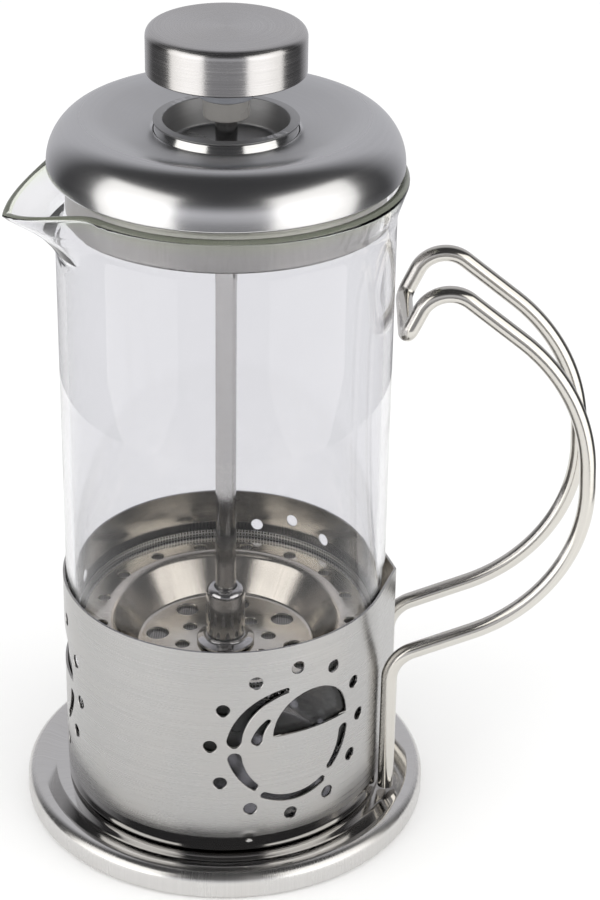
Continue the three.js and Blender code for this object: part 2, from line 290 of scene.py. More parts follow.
HOLE_RING_R = 18.4
HOLE_START = -2           # degrees
HOLE_R = 1.45
MOON_X, MOON_Y = 4.6, 2.2
MOON_WIDE, MOON_TALL = 9.4, 9.8
PIERCED_EDGE = 0.12       # the pierced edges' small bevel
WALL_DEPTH = 2.5          # the band's whole wall lies within this of its radius


def base_flange():
    """The dished base plate: centre pad, raised ring under the band, trough and bead."""
    under = rounded([((0, 0), 0), ((PAD_R, 0), 0.6), ((30.5, 4.6), 1.5), ((36.4, 4.3), 3), ((41, 4.3), 1),
                     ((42.6, 5.2), 0.6), ((BEAD_R, 4.4), 0.6), ((BEAD_R, 0), 0)])
    over = rounded([((BASE_R - BEAD_BEND, 0), 0), ((BASE_R, BEAD_BEND), 1.0), ((BASE_R, BASE_TOP), 2.6),
                    ((41.6, BASE_TOP), 2.0), ((38, 5.2), 2.0), ((STEP_R, STEP_TOP), 2.0),
                    ((29.8, STEP_TOP), 1.2), ((28, PAD_SHEET), 1.0), ((0, PAD_SHEET), 0)], steps=14)
    return revolve("base_flange", under + over, 240)


def smooth(t):
    """Goes from 0 to 1 as t does, level at both ends."""
    t = max(0.0, min(1.0, t))
    return t * t * (3 - 2 * t)


def degrees_from(middle, degrees):
    """Signed difference of two directions, -180 to 180."""
    return (degrees - middle + 180) % 360 - 180


def band_warp(radius, height, degrees):
    """Flat-sided ridge behind the handle, and the dents of the spot welds near the foot."""
    off = abs(degrees_from(0, degrees))
    if off < RIDGE_DEGREES and height > RIDGE_FOOT:
        flat = radius / math.cos(math.radians(RIDGE_DEGREES - off))
        radius += (flat - radius) * smooth((height - RIDGE_FOOT) / RIDGE_RISE)
    on_wall = radius > BAND_R - WALL_DEPTH
    for weld in WELD_DEGREES:
        along = degrees_from(weld, degrees) * math.radians(1) * BAND_R
        distance = math.hypot(along, height - WELD_Z) / WELD_R
        if on_wall and distance < 2:
            dent = math.exp(-3 * distance ** 2)
            raised_ring = 0.3 * math.exp(-9 * (distance - 1.1) ** 2)
            radius -= WELD_DEPTH * (dent - raised_ring)
    return radius, height


def arc_slot(radius, start, end, start_width, end_width):
    """Outline of a curved slot with round ends; its width goes evenly from one end to the other."""
    side_steps = 20
    tip_steps = 8

    def edge(share, turn):
        """A point of the edge, share of the way along the slot, on the side that turn looks to."""
        half = (start_width + (end_width - start_width) * share) / 2
        place = Vector((radius + half * math.cos(turn), half * math.sin(turn)))
        place.rotate(Matrix.Rotation(math.radians(start + (end - start) * share), 2))
        return tuple(place)

    return ([edge(i / side_steps, 0) for i in range(side_steps)]
            + [edge(1, math.pi * i / tip_steps) for i in range(tip_steps)]
            + [edge(1 - i / side_steps, math.pi) for i in range(side_steps)]
            + [edge(0, math.pi + math.pi * i / tip_steps) for i in range(tip_steps)])


# A slot's middle radius, its first and last degrees, and its width at each end.
SLOTS = ((13.4, 98, 172, 1.2, 3.2), (13.4, 191, 228, 3.0, 1.8), (14.2, 242, 300, 1.6, 1.6),
         (13.2, 314, 352, 1.4, 2.6), (8.6, 134, 168, 1.2, 2.4))


def roundel():
    """Outlines of the plain pierced roundel: curved slots and a half moon in a ring of round holes."""
    shapes = []
    for i in range(HOLE_COUNT):
        a = math.radians(360 / HOLE_COUNT * i + HOLE_START)
        shapes.append(round_outline(HOLE_RING_R * math.cos(a), HOLE_RING_R * math.sin(a), HOLE_R))
    for slot in SLOTS:
        shapes.append(arc_slot(*slot))
    moon_steps = 40
    moon = []
    for k in range(moon_steps + 1):
        a = math.pi * k / moon_steps
        moon.append((MOON_X + MOON_WIDE * math.cos(a), MOON_Y + MOON_TALL * math.sin(a)))
    shapes.append(moon)
    return shapes


def wall_normals(band, lowest):
    """Gives the wall above lowest the normals of a plain smooth wall.

    Piercing leaves thin faces, which would show in normals averaged from them.
    """
    band.modifiers.clear()
    mesh = band.data
    normals = [Vector(corner.vector) for corner in mesh.corner_normals]
    for face in mesh.polygons:
        degrees = math.degrees(math.atan2(face.center.y, face.center.x))
        facing = face.normal.dot(Vector((face.center.x, face.center.y, 0)).normalized())
        if face.center.z < lowest * MM or abs(facing) < 0.9:
            continue
        for loop in face.loop_indices:
            place = mesh.vertices[mesh.loops[loop].vertex_index].co
            turn = math.atan2(place.y, place.x)
            if abs(degrees) < RIDGE_DEGREES:
                turn = math.copysign(math.radians(RIDGE_DEGREES), degrees)
            normals[loop] = Vector((math.cos(turn), math.sin(turn), 0)) * math.copysign(1, facing)
    mesh.normals_split_custom_set(normals)
    return band


def pierced_band():
    """The sheet band, with its turned-in foot and three pierced roundels."""
    outer = rounded([((BAND_FLOOR_R, BAND_FOOT), 0), ((BAND_R, BAND_FOOT), BAND_BEND),
                     ((BAND_R, BAND_TOP), 0)], steps=14)
    outline = shell(finer(outer, 0.45), -BAND_SHEET)
    # Between the full ridge and the top edge the wall is straight, and needs no points.
    straight_from = RIDGE_FOOT + RIDGE_RISE + 1
    ends = [p for p in outline if p.y < straight_from or p.y > BAND_TOP - 0.1]
    band = revolve("pierced_band", ends, 360, band_warp)
    prisms = []
    for middle in ROUNDEL_DEGREES:
        def on_wall(u, v, depth, middle=middle):
            """Wraps the roundel's flat outline round the band."""
            turn = math.radians(middle) + u / BAND_R
            return depth * math.cos(turn), depth * math.sin(turn), ROUNDEL_Z + v

        for shape in roundel():
            wide = grown(shape, PIERCED_EDGE)
            layers = [(shape, BAND_R - WALL_DEPTH), (shape, BAND_R - PIERCED_EDGE),
                      (wide, BAND_R + 0.01), (wide, BAND_R + 4)]
            prisms.append(prism(layers, on_wall))
    return wall_normals(cut(band, prisms), PLAIN_WALL_FOOT)


# ------------------------------------------------------------------ wire handle
WIRE_R = 1.75
WIRE_Y = reach("handle_wire")[0] - WIRE_R
LEG_X = 36.25
LEG_FOOT = 6.6


def wire_loop():
    """One bent wire: up one leg, out and over the bow, across at the hook, and back down the other leg."""
    leg = [((LEG_X, LEG_FOOT), 0), ((LEG_X, 40.2), 8)]
    bow = [((77.8, 57.5), 37), ((75.2, 106), 40.5)]
    hook = [((43.3, 131.2), 6.5), ((37.2, 117.8), 2.4)]
    side = leg + bow + hook
    near = [((x, -WIRE_Y, z), r) for (x, z), r in side]
    far = [((x, WIRE_Y, z), r) for (x, z), r in side[::-1]]
    return tube("wire_loop", finer(rounded(near + far, steps=40), 3), WIRE_R, 28)


# ------------------------------------------------------------------ beaker
GLASS_R = 34.85
GLASS_WALL = 1.9
GLASS_BOTTOM = 8.9        # height of the inside of the bottom
_, GLASS_FOOT, RIM_Z = reach("glass_beaker")
RIM_R = 37.2
SPOUT_DEGREES = 198       # direction of the spout
SPOUT_HALF = 30           # degrees from its middle to its edge
SPOUT_OUT = 9.0
SPOUT_DROP = 4.5
SPOUT_Z = 133             # it starts at this height
LIP_DEPTH = 0.7           # the fire-polished lip reaches this far down
BEAKER_SEGMENTS = 360


def spout(radius, height, degrees):
    """Pulls the wall out and down into a pointed spout near the rim."""
    off = abs(degrees - SPOUT_DEGREES) / SPOUT_HALF
    if off >= 1 or height <= SPOUT_Z:
        return radius, height
    lift = (height - SPOUT_Z) / (RIM_Z - SPOUT_Z)
    side = math.cos(off * math.pi / 2) ** 2 * 0.45 + (1 - off) ** 1.5 * 0.55
    return radius + SPOUT_OUT * smooth(lift / 0.95) * side, height - SPOUT_DROP * lift * lift * side


def beaker_wall():
    """The glass, up the outside and down the inside. Faces of its lip take the second material."""
    inner = GLASS_R - GLASS_WALL
    section = rounded([((0, GLASS_FOOT), 0), ((GLASS_R, GLASS_FOOT), 5), ((GLASS_R, 141.5), 12),
                       ((RIM_R, 148.6), 1.0), ((RIM_R - 0.7, RIM_Z), 0.6), ((35.4, RIM_Z), 0.8),
                       ((33.0, 142.5), 10), ((inner, 136), 8), ((inner, 9), 4), ((0, GLASS_BOTTOM), 0)],
                      steps=12)
    line = finer(section, 2.2)
    wall = revolve("beaker_wall", line, BEAKER_SEGMENTS, spout)
    for face in wall.data.polygons:
        row = face.index // BEAKER_SEGMENTS
        face.material_index = int(min(line[row].y, line[row + 1].y) > RIM_Z - LIP_DEPTH)
    return wall


# ------------------------------------------------------------------ lid
LID_R, LID_FOOT, LID_TOP = reach("lid_dome")
LID_COLLAR_Z = 158.4      # inner edge of the dome, at the well
LID_RIM_Z = 151.8         # the dome is widest here
LID_SHEET = 0.75
LID_HEM = 0.9             # the hem is folded to this thickness
CREST_R = 28.5            # the dome is highest here
WELL_R, _, WELL_TOP = reach("lid_well")
WELL_FLOOR_R = 11.7
WELL_FLOOR = 154.0
WELL_SHEET = 0.8
SKIRT_R = 32.6
SKIRT_INNER_R = 31.9
SKIRT_RIM_R = 34.9        # the rim at the skirt's top rests on the glass
SKIRT_RIM_Z = 149.7
SKIRT_FLOOR = 142.1       # upper face of the skirt's floor
_, SKIRT_FOOT, SKIRT_TOP = reach("lid_skirt")
GUIDE_R, GUIDE_FOOT, GUIDE_TOP = reach("rod_guide")
ROD_HOLE_R = 2.75         # the rod's holes in the lid's sheets
ROD_BORE_R = 2.55         # bores that fit round the rod


def lid_shell():
    """The dome: a rounded ring that falls to the well inside and to a folded hem outside."""
    collar = (WELL_R + 0.08, LID_COLLAR_Z)
    crest = (CREST_R, LID_TOP)
    rim = (LID_R, LID_RIM_Z)
    top = bezier(collar, (19, 159.4), (24, LID_TOP), crest)
    top += bezier(crest, (32.2, LID_TOP), (LID_R, 157), rim)[1:]
    hem_top = LID_RIM_Z + 0.4
    hem = rounded([(rim, 0), ((LID_R, LID_FOOT), 0.5), ((LID_R - LID_HEM, LID_FOOT), 0.35),
                   ((LID_R - LID_HEM, hem_top), 0)], steps=6)
    under = [place for place in beside(top, LID_SHEET)[::-1] if place.y > hem_top]
    return revolve("lid_shell", top + hem[1:] + under, 240)


def lid_cup():
    """The well in the lid's middle, with a leaning wall under its turned-out rim."""
    floor_top = WELL_FLOOR + WELL_SHEET
    outside = [((ROD_HOLE_R, WELL_FLOOR), 0.15), ((WELL_FLOOR_R, WELL_FLOOR), 0.8), ((12.5, 156.2), 0.3),
               ((14.2, 156.6), 0.4), ((WELL_R, 157.4), 0.3), ((WELL_R, 158.2), 0.3)]
    rim = [((13.9, WELL_TOP - 0.55), 0.1), ((WELL_R, WELL_TOP - 0.45), 0.15), ((WELL_R, WELL_TOP), 0.15),
           ((12.8, WELL_TOP), 0.25)]
    inside = [((11.65, floor_top), 0.6), ((ROD_HOLE_R, floor_top), 0.15)]
    return revolve("lid_cup", rounded(outside + rim + inside, closed=True), 200)


def lid_ring():
    """The skirt that goes into the glass: a shallow pan with a rim at its top."""
    corners = [((ROD_HOLE_R, SKIRT_FOOT), 0), ((SKIRT_R, SKIRT_FOOT), 0.8), ((SKIRT_R, SKIRT_RIM_Z), 0.3),
               ((SKIRT_RIM_R, SKIRT_RIM_Z), 0.2), ((SKIRT_RIM_R, SKIRT_TOP), 0.2),
               ((SKIRT_INNER_R, SKIRT_TOP), 0.6), ((SKIRT_INNER_R, SKIRT_FLOOR), 0.5),
               ((ROD_HOLE_R, SKIRT_FLOOR), 0)]
    return revolve("lid_ring", rounded(corners, closed=True), 200)


def guide_tube():
    """The plastic guide in the lid, round the rod."""
    corners = [((ROD_BORE_R, GUIDE_FOOT), 0.2), ((GUIDE_R, GUIDE_FOOT), 0.3), ((GUIDE_R, GUIDE_TOP), 0.3),
               ((ROD_BORE_R, GUIDE_TOP), 0.2)]
    return revolve("guide_tube", rounded(corners, closed=True, steps=4), 64)


# ------------------------------------------------------------------ knob and rod
ROD_R, ROD_FOOT, ROD_TOP = reach("plunger_rod")
STEM_R, STEM_FOOT, STEM_TOP = reach("stem_sleeve")
KNOB_R, KNOB_FOOT, KNOB_TOP = reach("knob_cap")
CORE_R, CORE_FOOT, CORE_TOP = reach("knob_core")
CAP_SHEET = 0.75
CAP_TOP_SHEET = 0.8
BOSS_R = 5.7              # the knob's boss, down to the lid's well
BOSS_TOP = 170.95
SOCKET_R = 4.3            # the socket in the boss, for the threaded insert
SOCKET_TOP = 174.9
INSERT_R, INSERT_FOOT, INSERT_TOP = 4.0, 165.3, 174.6


def plunger_shaft():
    """The rod, with rounded ends."""
    corners = [((0, ROD_FOOT), 0), ((ROD_R, ROD_FOOT), 0.4), ((ROD_R, ROD_TOP), 0.4), ((0, ROD_TOP), 0)]
    return revolve("plunger_shaft", rounded(corners), 64)


def stem_collar():
    """The dark sleeve round the rod under the knob."""
    corners = [((ROD_BORE_R, STEM_FOOT), 0.15), ((STEM_R, STEM_FOOT), 0.4), ((STEM_R, STEM_TOP), 0.25),
               ((ROD_BORE_R, STEM_TOP), 0.15)]
    return revolve("stem_collar", rounded(corners, closed=True), 96)


def knob_drum():
    """The knob's steel cap, a low drum open below."""
    inner = KNOB_R - CAP_SHEET
    under = KNOB_TOP - CAP_TOP_SHEET
    corners = [((0, KNOB_TOP), 0), ((KNOB_R, KNOB_TOP), 1.9), ((KNOB_R, KNOB_FOOT), 0.3),
               ((inner, KNOB_FOOT), 0.25), ((inner, under), 1.2), ((0, under), 0)]
    return revolve("knob_drum", rounded(corners), 200)


def knob_body():
    """The plastic body inside the cap, with a boss and a socket below."""
    corners = [((SOCKET_R, CORE_FOOT), 0.2), ((BOSS_R, CORE_FOOT), 0.3), ((BOSS_R, BOSS_TOP), 0.5),
               ((CORE_R, BOSS_TOP), 0.3), ((CORE_R, CORE_TOP), 1.4), ((0, CORE_TOP), 0),
               ((0, SOCKET_TOP), 0), ((SOCKET_R, SOCKET_TOP), 0)]
    return revolve("knob_body", rounded(corners), 128)


def knob_thread():
    """The brass insert in the knob's socket."""
    corners = [((ROD_BORE_R, INSERT_FOOT), 0.2), ((INSERT_R, INSERT_FOOT), 0.2),
               ((INSERT_R, INSERT_TOP), 0.2), ((ROD_BORE_R, INSERT_TOP), 0.2)]
    return revolve("knob_thread", rounded(corners, closed=True, steps=3), 48)


# ------------------------------------------------------------------ filter
PLATE_R, _, PLATE_TOP = reach("filter_plate")
DISH_TOP = 38.0
DISH_INNER = 19.4
DISH_OUTER = 25.2
PLATE_SHEET = 0.6
CLOTH = 0.3
SCREEN_R, _, SCREEN_TOP = reach("mesh_screen")
LOWER_PLATE_R = 29.3
LOWER_PLATE_DROP = 1.6    # its upper face lies this far below the filter plate's
STUD_R = 2.0
STUD_HOLE_R = 2.3
HUB_SHOULDER = 40.4
HUB_SOCKET = 41.6
SPRING_R, SPRING_FOOT, SPRING_TOP = reach("rim_spring")
HUB_R, HUB_FOOT, HUB_TOP = reach("filter_hub")
WASHER_R, WASHER_FOOT, WASHER_TOP = reach("hub_washer")
NUT_FOOT, NUT_TOP = reach("bottom_nut")[1:]


def dish(rim, drop=0.0):
    """The line of a pressed dish out to a rim radius, drop below the filter plate's upper face."""
    slope = math.atan2(PLATE_TOP - DISH_TOP, DISH_OUTER - DISH_INNER)
    shift = drop * math.tan(slope / 2)
    floor = DISH_TOP - drop
    top = PLATE_TOP - drop
    return rounded([((STUD_HOLE_R, floor), 0), ((DISH_INNER + shift, floor), 1.2 + drop),
                    ((DISH_OUTER + shift, top), 2.8 - drop), ((rim, top), 0)], steps=10)


def pressed(rim, drop, thickness):
    """Closed outline of a dished sheet."""
    return dish(rim, drop) + dish(rim, drop + thickness)[::-1]


def upright(x, y, depth):
    """Place of a prism's point where its depth is along Z."""
    return x, y, depth


def holes(pattern, bottom, top, upper_face):
    """Prisms for rings of holes (count, ring radius, first degrees, hole radius).

    They widen to a small bevel at the sheet's upper face, whose height upper_face(ring radius) gives.
    """
    bevel = 0.15
    made = []
    for count, ring, first, radius in pattern:
        for i in range(count):
            a = math.radians(first + 360 * i / count)
            x, y = ring * math.cos(a), ring * math.sin(a)
            level = upper_face(ring)
            bore = round_outline(x, y, radius)
            mouth = round_outline(x, y, radius + bevel)
            layers = [(bore, bottom), (bore, level - bevel), (mouth, level + 0.01), (mouth, top)]
            made.append(prism(layers, upright))
    return made


def sieve_plate():
    """The dished filter plate, with one ring of holes in its rim and two in its floor."""
    plate = revolve("sieve_plate", pressed(PLATE_R, 0, PLATE_SHEET), 240)
    pattern = [(16, 27.7, -8.2, 1.4), (8, 15.5, -8.8, 2.45), (8, 9.7, 12, 1.55)]
    return cut(plate, holes(pattern, 30, 50, lambda ring: PLATE_TOP if ring > DISH_INNER else DISH_TOP))


def woven_screen():
    """The wire cloth under the filter plate; its border curls up round the spring."""
    top = dish(SCREEN_R - 1.5, PLATE_SHEET + CLOTH)
    curl = rounded([(tuple(top[-1]), 0), ((SCREEN_R - 0.35, top[-1].y), 0.7),
                    ((SCREEN_R - 0.3, SCREEN_TOP), 0)])
    line = finer(top[:-1] + curl, 1.2)
    return revolve("woven_screen", shell(line, CLOTH), 240)


def coil_spring():
    """The rim's spring: a fine wire coiled along a ring."""
    middle_z = (SPRING_TOP + SPRING_FOOT) / 2
    half = (SPRING_TOP - SPRING_FOOT) / 2
    ring = SPRING_R - half
    coil = half - 0.25
    turns = 110
    steps = 10
    line = []
    for i in range(turns * steps):
        a = math.tau * i / (turns * steps)
        b = math.tau * i / steps
        r = ring + coil * math.cos(b)
        line.append(Vector((r * math.cos(a), r * math.sin(a), middle_z + coil * math.sin(b))))
    return tube("coil_spring", line, 0.24, 6, closed=True)


def lower_plate():
    """The small dished plate that holds the cloth from below."""
    plate = revolve("lower_plate", pressed(LOWER_PLATE_R, LOWER_PLATE_DROP, PLATE_SHEET), 200)
    return cut(plate, holes([(8, 13.0, 8, 2.8)], 28, 50, lambda ring: DISH_TOP - LOWER_PLATE_DROP))


def hub_body():
    """The hub on the rod's foot, with the stud below it that carries the filter stack."""
    corners = [((0, HUB_FOOT), 0), ((STUD_R, HUB_FOOT), 0.4), ((STUD_R, HUB_SHOULDER), 0),
               ((HUB_R, HUB_SHOULDER), 0.35), ((HUB_R, HUB_TOP), 1.7), ((ROD_BORE_R, HUB_TOP), 0.3),
               ((ROD_BORE_R, HUB_SOCKET), 0), ((0, HUB_SOCKET), 0)]
    return revolve("hub_body", rounded(corners), 96)


def hub_foot():
    """The washer under the hub, with a raised middle."""
    corners = [((STUD_HOLE_R, WASHER_FOOT), 0), ((WASHER_R, WASHER_FOOT), 0.3), ((WASHER_R, 38.9), 0.3),
               ((4.7, 39.5), 1.0), ((4.4, WASHER_TOP), 0.3), ((STUD_HOLE_R, WASHER_TOP), 0)]
    return revolve("hub_foot", rounded(corners, closed=True), 96)


def hex_nut():
    """The nut under the filter stack, with bevelled faces and a flared bore."""
    across_corners = 4.1
    bevel = 0.25
    corners = []
    for k in range(6):
        a = math.radians(60 * k)
        corners.append(((across_corners * math.cos(a), across_corners * math.sin(a)), bevel))
    outline = [tuple(p) for p in rounded(corners, closed=True, steps=3)]
    small = grown(outline, -bevel)
    layers = [(small, NUT_FOOT), (outline, NUT_FOOT + bevel), (outline, NUT_TOP - bevel), (small, NUT_TOP)]
    nut = mesh_object("hex_nut", *prism(layers, upright))
    bore = round_outline(0, 0, STUD_HOLE_R)
    flare = round_outline(0, 0, STUD_HOLE_R + 0.4)
    layers = [(bore, 30), (bore, NUT_TOP - 0.3), (flare, NUT_TOP + 0.1), (flare, 38)]
    return cut(nut, [prism(layers, upright)])


# ------------------------------------------------------------------ materials
# The Mix node has sockets of one name for each kind of value; these are its colour sockets.
MIX_FACTOR, MIX_A, MIX_B, MIX_RESULT = 0, 6, 7, 2
STAIN = (0.62, 0.57, 0.5)
CLOTH_STAIN = (0.5, 0.44, 0.36)
GLASS_IOR = 1.47


class Nodes:
    """Short calls that add nodes to a tree and link them."""

    def __init__(self, tree):
        self.tree = tree

    def add(self, kind, inputs=None, output=0, **settings):
        """Adds a node and gives one of its outputs. inputs holds sockets to link, or plain values."""
        made = self.tree.nodes.new("ShaderNode" + kind)
        for key, value in settings.items():
            setattr(made, key, value)
        for key, value in (inputs or {}).items():
            if isinstance(value, bpy.types.NodeSocket):
                self.tree.links.new(value, made.inputs[key])
            else:
                made.inputs[key].default_value = value
        return made.outputs[output]

    def math(self, operation, a, b=0.0):
        return self.add("Math", {0: a, 1: b}, operation=operation)

    def ramp(self, value, low, high, to_low=0.0, to_high=1.0):
        """Goes straight from to_low, where value is low, to to_high, where it is high."""
        return self.add("MapRange", {"Value": value, "From Min": low, "From Max": high,
                                     "To Min": to_low, "To Max": to_high})


class Shader(Nodes):
    """A new node material with one Principled shader."""

    def __init__(self, name, **sockets):
        self.material = bpy.data.materials.new(name)
        self.material.use_nodes = True
        super().__init__(self.material.node_tree)
        self.surface = self.tree.nodes["Principled BSDF"]
        for socket, value in sockets.items():
            self.surface.inputs[socket.replace("_", " ")].default_value = value

    def place(self):
        """The point's place on the piece, in metres."""
        return self.add("TexCoord", output="Object")

    def xyz(self, place=None):
        """The three numbers of a vector, or of the point's place."""
        return self.add("SeparateXYZ", {0: place or self.place()}).node.outputs

    def radius(self):
        """Distance from the main axis."""
        x, y, _ = self.xyz()
        squares = self.math("ADD", self.math("MULTIPLY", x, x), self.math("MULTIPLY", y, y))
        return self.math("SQRT", squares)

    def edges(self):
        """About 1 on convex edges, where handling rubs a piece, and 0 elsewhere."""
        return self.ramp(self.add("NewGeometry", output="Pointiness"), 0.515, 0.56)

    def choose(self, test, low, high):
        """The value low where test is 0, and high where it is 1."""
        return self.math("ADD", low, self.math("MULTIPLY", test, self.math("SUBTRACT", high, low)))

    def stretched(self, values, factors):
        """A vector of three values, each times its factor."""
        x, y, z = (self.math("MULTIPLY", value, factor) for value, factor in zip(values, factors))
        return self.add("CombineXYZ", {0: x, 1: y, 2: z})

    def noise(self, vector, scale, detail=3.0, roughness=0.55):
        return self.add("TexNoise", {"Vector": vector, "Scale": scale, "Detail": detail,
                                     "Roughness": roughness})

    def mix(self, factor, a, b):
        """A colour from a, where factor is 0, to b, where it is 1."""
        return self.add("Mix", {MIX_FACTOR: factor, MIX_A: a, MIX_B: b}, output=MIX_RESULT,
                        data_type="RGBA")

    def into(self, socket, value):
        self.tree.links.new(value, self.surface.inputs[socket])

    def bump(self, height, strength, distance):
        """Relief from a height, in the surface's normal."""
        made = self.add("Bump", {"Height": height, "Strength": strength, "Distance": distance})
        self.into("Normal", made)


def shade(colour, factor):
    """A colour made lighter or darker, with its alpha."""
    return (*(min(1.0, c * factor) for c in colour), 1.0)


def grain_vector(shader, kind, fine, coarse):
    """Coordinates in which noise makes brushing lines.

    kind says how they run: "around" the axis, "along" it, "radial", or along a "wire".
    """
    if kind == "wire":
        place = shader.add("Attribute", output="Vector", attribute_name="wire_place")
        return shader.stretched(shader.xyz(place), (fine, fine, coarse))
    x, y, z = shader.xyz()
    if kind == "along":
        return shader.stretched((x, y, z), (fine, fine, coarse))
    radius = shader.radius()
    if kind == "radial":
        across = shader.math("DIVIDE", x, radius)
        up = shader.math("DIVIDE", y, radius)
        return shader.stretched((across, up, radius), (fine, fine, coarse))
    return shader.stretched((x, y, shader.math("SUBTRACT", radius, z)), (coarse, coarse, fine))


def steel(name, colour, rough, kind="around", fine=2600.0, coarse=25.0, bite=0.25, patches=0.12,
          depth=0.00002, anisotropy=0.0, worn=0.35, rougher=None):
    """Steel with brushing lines, stains, specks and brighter worn edges.

    kind, fine and coarse shape the lines, bite is their depth in colour, gloss and relief, patches is how
    much the stains show, and worn how much the edges do. rougher(shader) gives a factor for the roughness,
    from place to place.
    """
    shader = Shader(name, Metallic=1.0, Anisotropic=anisotropy, Anisotropic_Rotation=0.25)
    lines = shader.noise(grain_vector(shader, kind, fine, coarse), 1.0, 4.0, 0.65)
    stains = shader.noise(shader.place(), 45.0, 4.0, 0.6)
    specks = shader.noise(shader.place(), 900.0, 2.0, 0.5)
    dark, light = shade(colour, 1 - 0.5 * bite), shade(colour, 1 + 0.2 * bite)
    base = shader.mix(shader.ramp(lines, 0.25, 0.75), dark, light)
    base = shader.mix(shader.ramp(stains, 0.45, 0.75, 0.0, patches), base, shade(STAIN, 1))
    level = shader.ramp(lines, 0.2, 0.8, rough * (1 - bite), rough * (1 + bite))
    level = shader.math("ADD", level, shader.ramp(stains, 0.4, 0.8, 0.0, patches * 0.5))
    if worn:
        edges = shader.edges()
        base = shader.mix(shader.math("MULTIPLY", edges, worn), base, shade(colour, 1.25))
        level = shader.math("SUBTRACT", level, shader.math("MULTIPLY", edges, rough * worn))
    shader.into("Base Color", base)
    if rougher:
        level = shader.math("MULTIPLY", level, rougher(shader))
    shader.into("Roughness", level)
    shader.bump(shader.math("ADD", lines, shader.math("MULTIPLY", specks, 0.15)), bite, depth)
    if anisotropy:
        shader.into("Tangent", shader.add("Tangent", direction_type="RADIAL", axis="Z"))
    return shader.material


def clear_glass(name):
    """Clear glass, greener up to the thick rim, with faint upright smears and waves.

    Its specular tint keeps the softboxes' reflections weak, as they are in front of a white room.
    """
    shader = Shader(name, IOR=GLASS_IOR, Transmission_Weight=1.0, Specular_Tint=(0.35, 0.35, 0.35, 1))
    green = shader.ramp(shader.xyz()[2], 0.1455, 0.149)
    body = shader.noise(shader.place(), 30.0, 3.0)
    tint = shader.mix(shader.ramp(body, 0.3, 0.7), (0.815, 0.815, 0.835, 1), (0.83, 0.83, 0.85, 1))
    shader.into("Base Color", shader.mix(green, tint, (0.80, 0.85, 0.74, 1)))
    smears = shader.noise(shader.stretched(shader.xyz(), (60.0, 60.0, 14.0)), 1.0, 5.0, 0.6)
    shader.into("Roughness", shader.ramp(smears, 0.5, 0.8, 0.0, 0.035))
    shader.bump(shader.noise(shader.place(), 55.0, 1.0), 0.12, 0.0004)
    return shader.material


def rim_glass(name):
    """The fire-polished lip, where thick glass gathers a yellowish green. Its light, partly opaque colour
    is also a painted highlight along the lip.
    """
    shader = Shader(name, IOR=GLASS_IOR, Transmission_Weight=0.85)
    body = shader.noise(shader.place(), 70.0, 3.0)
    # Painted highlight: this light yellow-green, partly opaque because Transmission Weight is 0.85, stands
    # in for the highlight the lip catches, over thick glass's own green.
    tint = shader.mix(shader.ramp(body, 0.3, 0.7), (0.74, 0.79, 0.62, 1), (0.88, 0.92, 0.78, 1))
    shader.into("Base Color", tint)
    shader.into("Roughness", shader.ramp(body, 0.3, 0.7, 0.02, 0.08))
    shader.bump(shader.noise(shader.place(), 160.0, 1.0), 0.15, 0.0003)
    return shader.material


def plastic(name, colour, rough):
    """Moulded plastic with a fine spark-eroded grain, flow marks and rubbed edges."""
    shader = Shader(name, IOR=1.49)
    flow = shader.noise(shader.place(), 90.0, 3.0)
    base = shader.mix(shader.ramp(flow, 0.3, 0.7), shade(colour, 0.92), shade(colour, 1.06))
    base = shader.mix(shader.math("MULTIPLY", shader.edges(), 0.3), base, shade(colour, 1.35))
    shader.into("Base Color", base)
    shader.into("Roughness", shader.ramp(flow, 0.3, 0.7, rough * 0.85, rough * 1.15))
    shader.bump(shader.noise(shader.place(), 2600.0, 2.0), 0.3, 0.00003)
    return shader.material


def woven(name, colour):
    """Woven wire cloth: two sets of round wires that pass over and under each other.

    It is open between the wires, except on the stretched border, where the wires run round and across it.
    Its colour is painted shade where the wires dip under each other and in the border's gaps, and a painted
    highlight on the wires' crowns.
    """
    shader = Shader(name, Metallic=1.0)
    x, y, z = shader.xyz()
    radius = shader.radius()
    on_border = shader.math("GREATER_THAN", radius, 0.0305)
    round_it = shader.math("MULTIPLY", shader.math("ARCTAN2", y, x), SCREEN_R * MM)
    across_it = shader.math("SUBTRACT", radius, z)
    pitch = shader.choose(on_border, 0.00052, 0.00075)
    turns = shader.math("DIVIDE", math.pi, pitch)
    warp = shader.math("MULTIPLY", shader.choose(on_border, x, round_it), turns)
    weft = shader.math("MULTIPLY", shader.choose(on_border, y, across_it), turns)
    over = shader.math("MULTIPLY", shader.math("COSINE", warp), shader.math("COSINE", weft))
    over = shader.math("MULTIPLY", over, 0.25)
    wire_a = shader.math("ADD", shader.math("ABSOLUTE", shader.math("SINE", warp)), over)
    wire_b = shader.math("SUBTRACT", shader.math("ABSOLUTE", shader.math("SINE", weft)), over)
    height = shader.math("MAXIMUM", wire_a, wire_b)
    stains = shader.noise(shader.place(), 60.0, 3.0)
    # Painted shade and highlight: dark where a wire dips under another or where a gap is filled on the
    # border, light on each wire's crown.
    base = shader.mix(shader.ramp(height, 0.6, 1.05), shade(colour, 0.12), shade(colour, 1.15))
    base = shader.mix(shader.ramp(stains, 0.5, 0.8, 0.0, 0.3), base, shade(CLOTH_STAIN, 1))
    shader.into("Base Color", base)
    shader.into("Roughness", shader.ramp(height, 0.5, 1.1, 0.7, 0.42))
    shader.into("Alpha", shader.math("MAXIMUM", on_border, shader.math("GREATER_THAN", height, 0.52)))
    shader.bump(height, 0.8, 0.00012)
    return shader.material


def bead_rougher(shader):
    """The base's outer bead is rubbed, and the rest stays polished."""
    return shader.ramp(shader.radius(), 0.0425, 0.0435, 1.0, 2.6)


def wall_rougher(shader):
    """The band is brushed above its polished foot."""
    return shader.ramp(shader.xyz()[2], 0.0094, 0.0098, 0.3, 1.0)


def collar_rougher(shader):
    """The dome's gloss falls off towards its collar."""
    return shader.ramp(shader.radius(), 0.024, 0.031, 1.8, 1.0)


